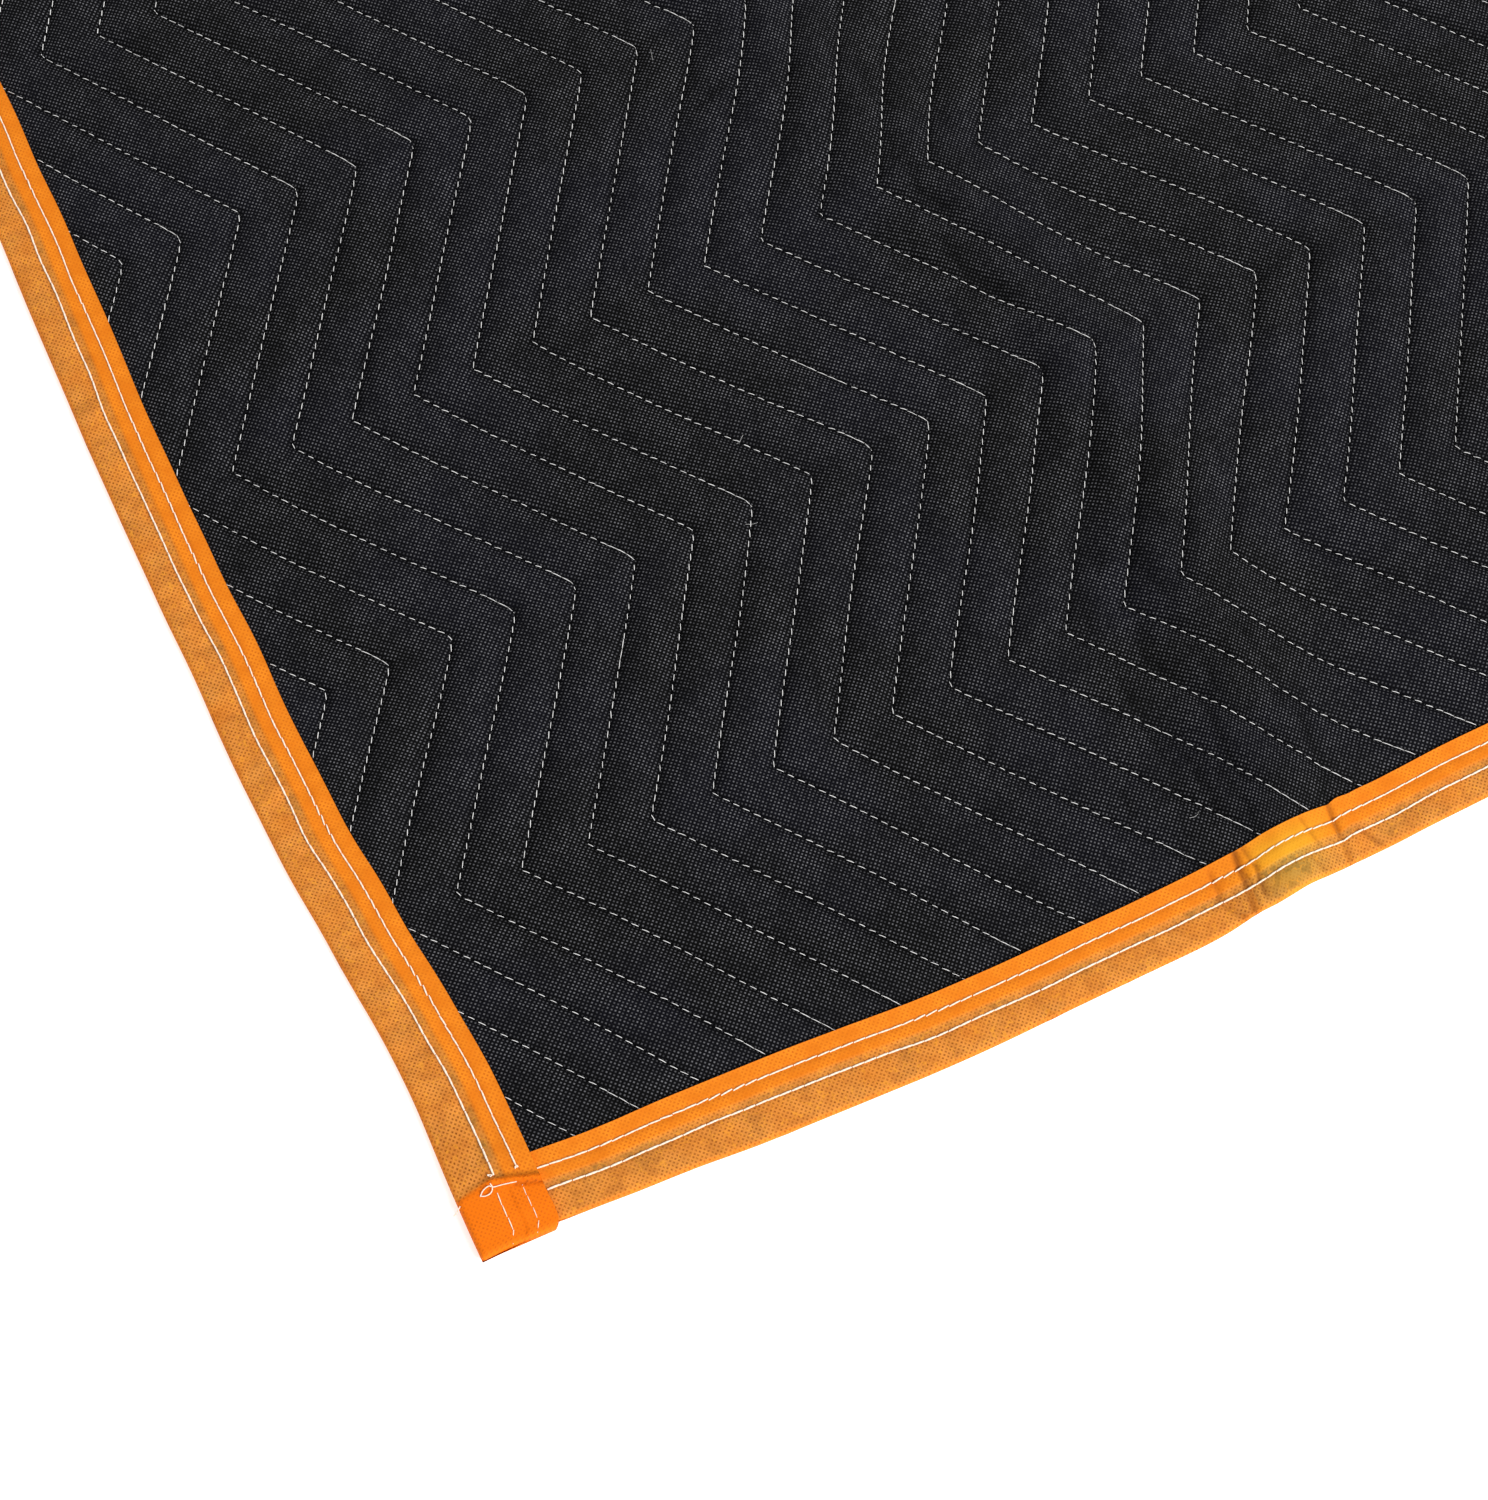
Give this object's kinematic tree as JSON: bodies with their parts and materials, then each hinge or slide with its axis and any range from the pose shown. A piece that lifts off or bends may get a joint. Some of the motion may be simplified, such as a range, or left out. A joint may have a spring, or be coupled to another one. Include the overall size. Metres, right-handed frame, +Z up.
{
  "type": "moving pad",
  "caption": "Quilted pad lying flat: thin padded body sewn through in zigzag lines, with a folded cloth binding over each edge, for wrapping goods while they are moved.",
  "frame": {"origin": "bottom centre of the whole pad, on the surface it lies on", "axes": "+Z up off the surface; +Y along the zigzag lines, the 80 in side, away from the front end; +X across the lines, the 72 in side"},
  "size_m": [1.8288, 2.032, 0.011],
  "materials": {
    "black_cover": "matt, point-bonded nonwoven",
    "orange_binding": "matt, point-bonded nonwoven, folded",
    "white_thread": "spun sewing thread"
  },
  "bodies": {
    "root": {"pad": "black_cover", "binding_left": "orange_binding", "binding_right": "orange_binding", "binding_front": "orange_binding", "binding_back": "orange_binding"}
  },
  "joints": []
}
